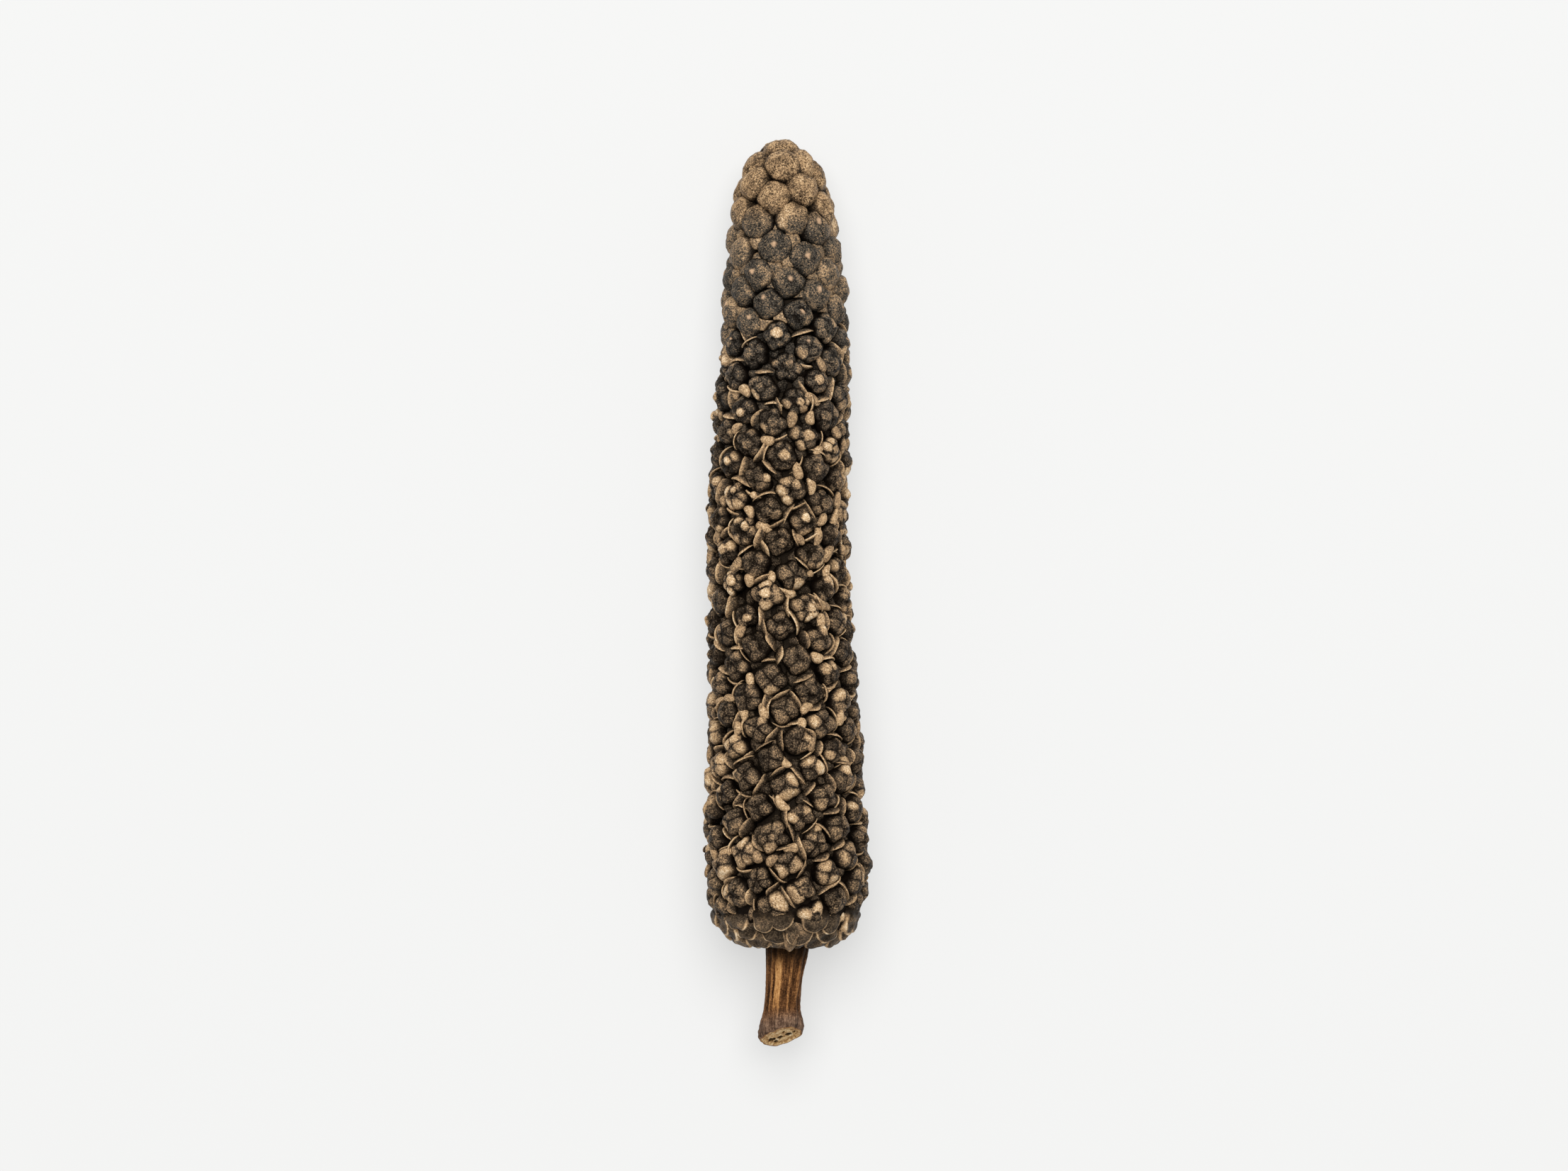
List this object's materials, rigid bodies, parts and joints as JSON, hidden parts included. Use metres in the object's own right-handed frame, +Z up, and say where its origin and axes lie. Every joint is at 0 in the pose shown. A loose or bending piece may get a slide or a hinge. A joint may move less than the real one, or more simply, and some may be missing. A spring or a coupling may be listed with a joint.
{
  "type": "long pepper",
  "caption": "Dried long pepper: a tapering catkin of tightly packed small fruits with thin scales between them, on a short ribbed stalk broken off at a slant, lying on its side.",
  "frame": {"origin": "middle of the whole piece seen from above, on the surface it lies on", "axes": "+Y along the spike from the broken end of the stalk to the tip, +Z up"},
  "size_m": [0.0092, 0.05, 0.009],
  "materials": {
    "dried_fruit": "matt, rough and finely speckled",
    "dried_stalk": "matt, ribbed lengthwise"
  },
  "bodies": {
    "root": {"spike": "dried_fruit", "stalk": "dried_stalk"}
  },
  "joints": []
}
